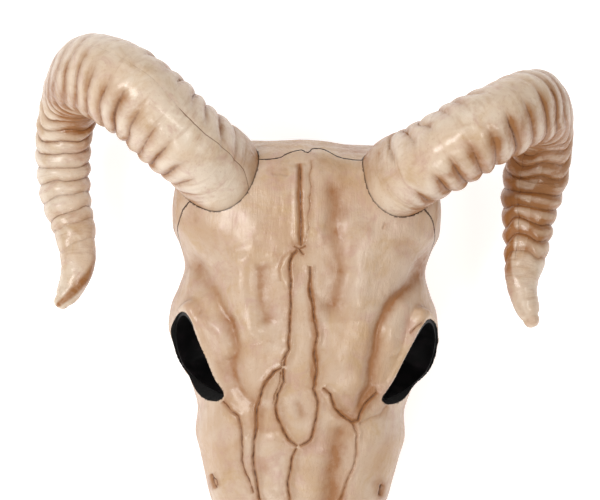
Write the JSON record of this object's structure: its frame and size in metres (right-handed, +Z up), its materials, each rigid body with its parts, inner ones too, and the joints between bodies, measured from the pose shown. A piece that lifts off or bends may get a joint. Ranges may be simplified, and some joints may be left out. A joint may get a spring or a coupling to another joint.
{
  "type": "moulded ram skull ornament",
  "caption": "Life-size moulded copy of a ram's skull with curling ridged horns, for display; it lies on its upper teeth and skull base.",
  "frame": {"origin": "middle of the bounding box's bottom face, on the floor the skull lies on", "axes": "+Z up, the nose points to -Y, +X is the animal's left"},
  "size_m": [0.3127, 0.3296, 0.1702],
  "materials": {
    "bone": "glossy bone-coloured plastic, stained brown in the cracks and hollows",
    "horn": "glossy pale horn-coloured plastic, stained brown between the ridges",
    "lining": "dull black"
  },
  "bodies": {
    "root": {"face_shell": "bone", "back_shell": "bone", "horn_left": "horn", "horn_right": "horn", "socket_lining_left": "lining", "socket_lining_right": "lining"}
  },
  "joints": []
}
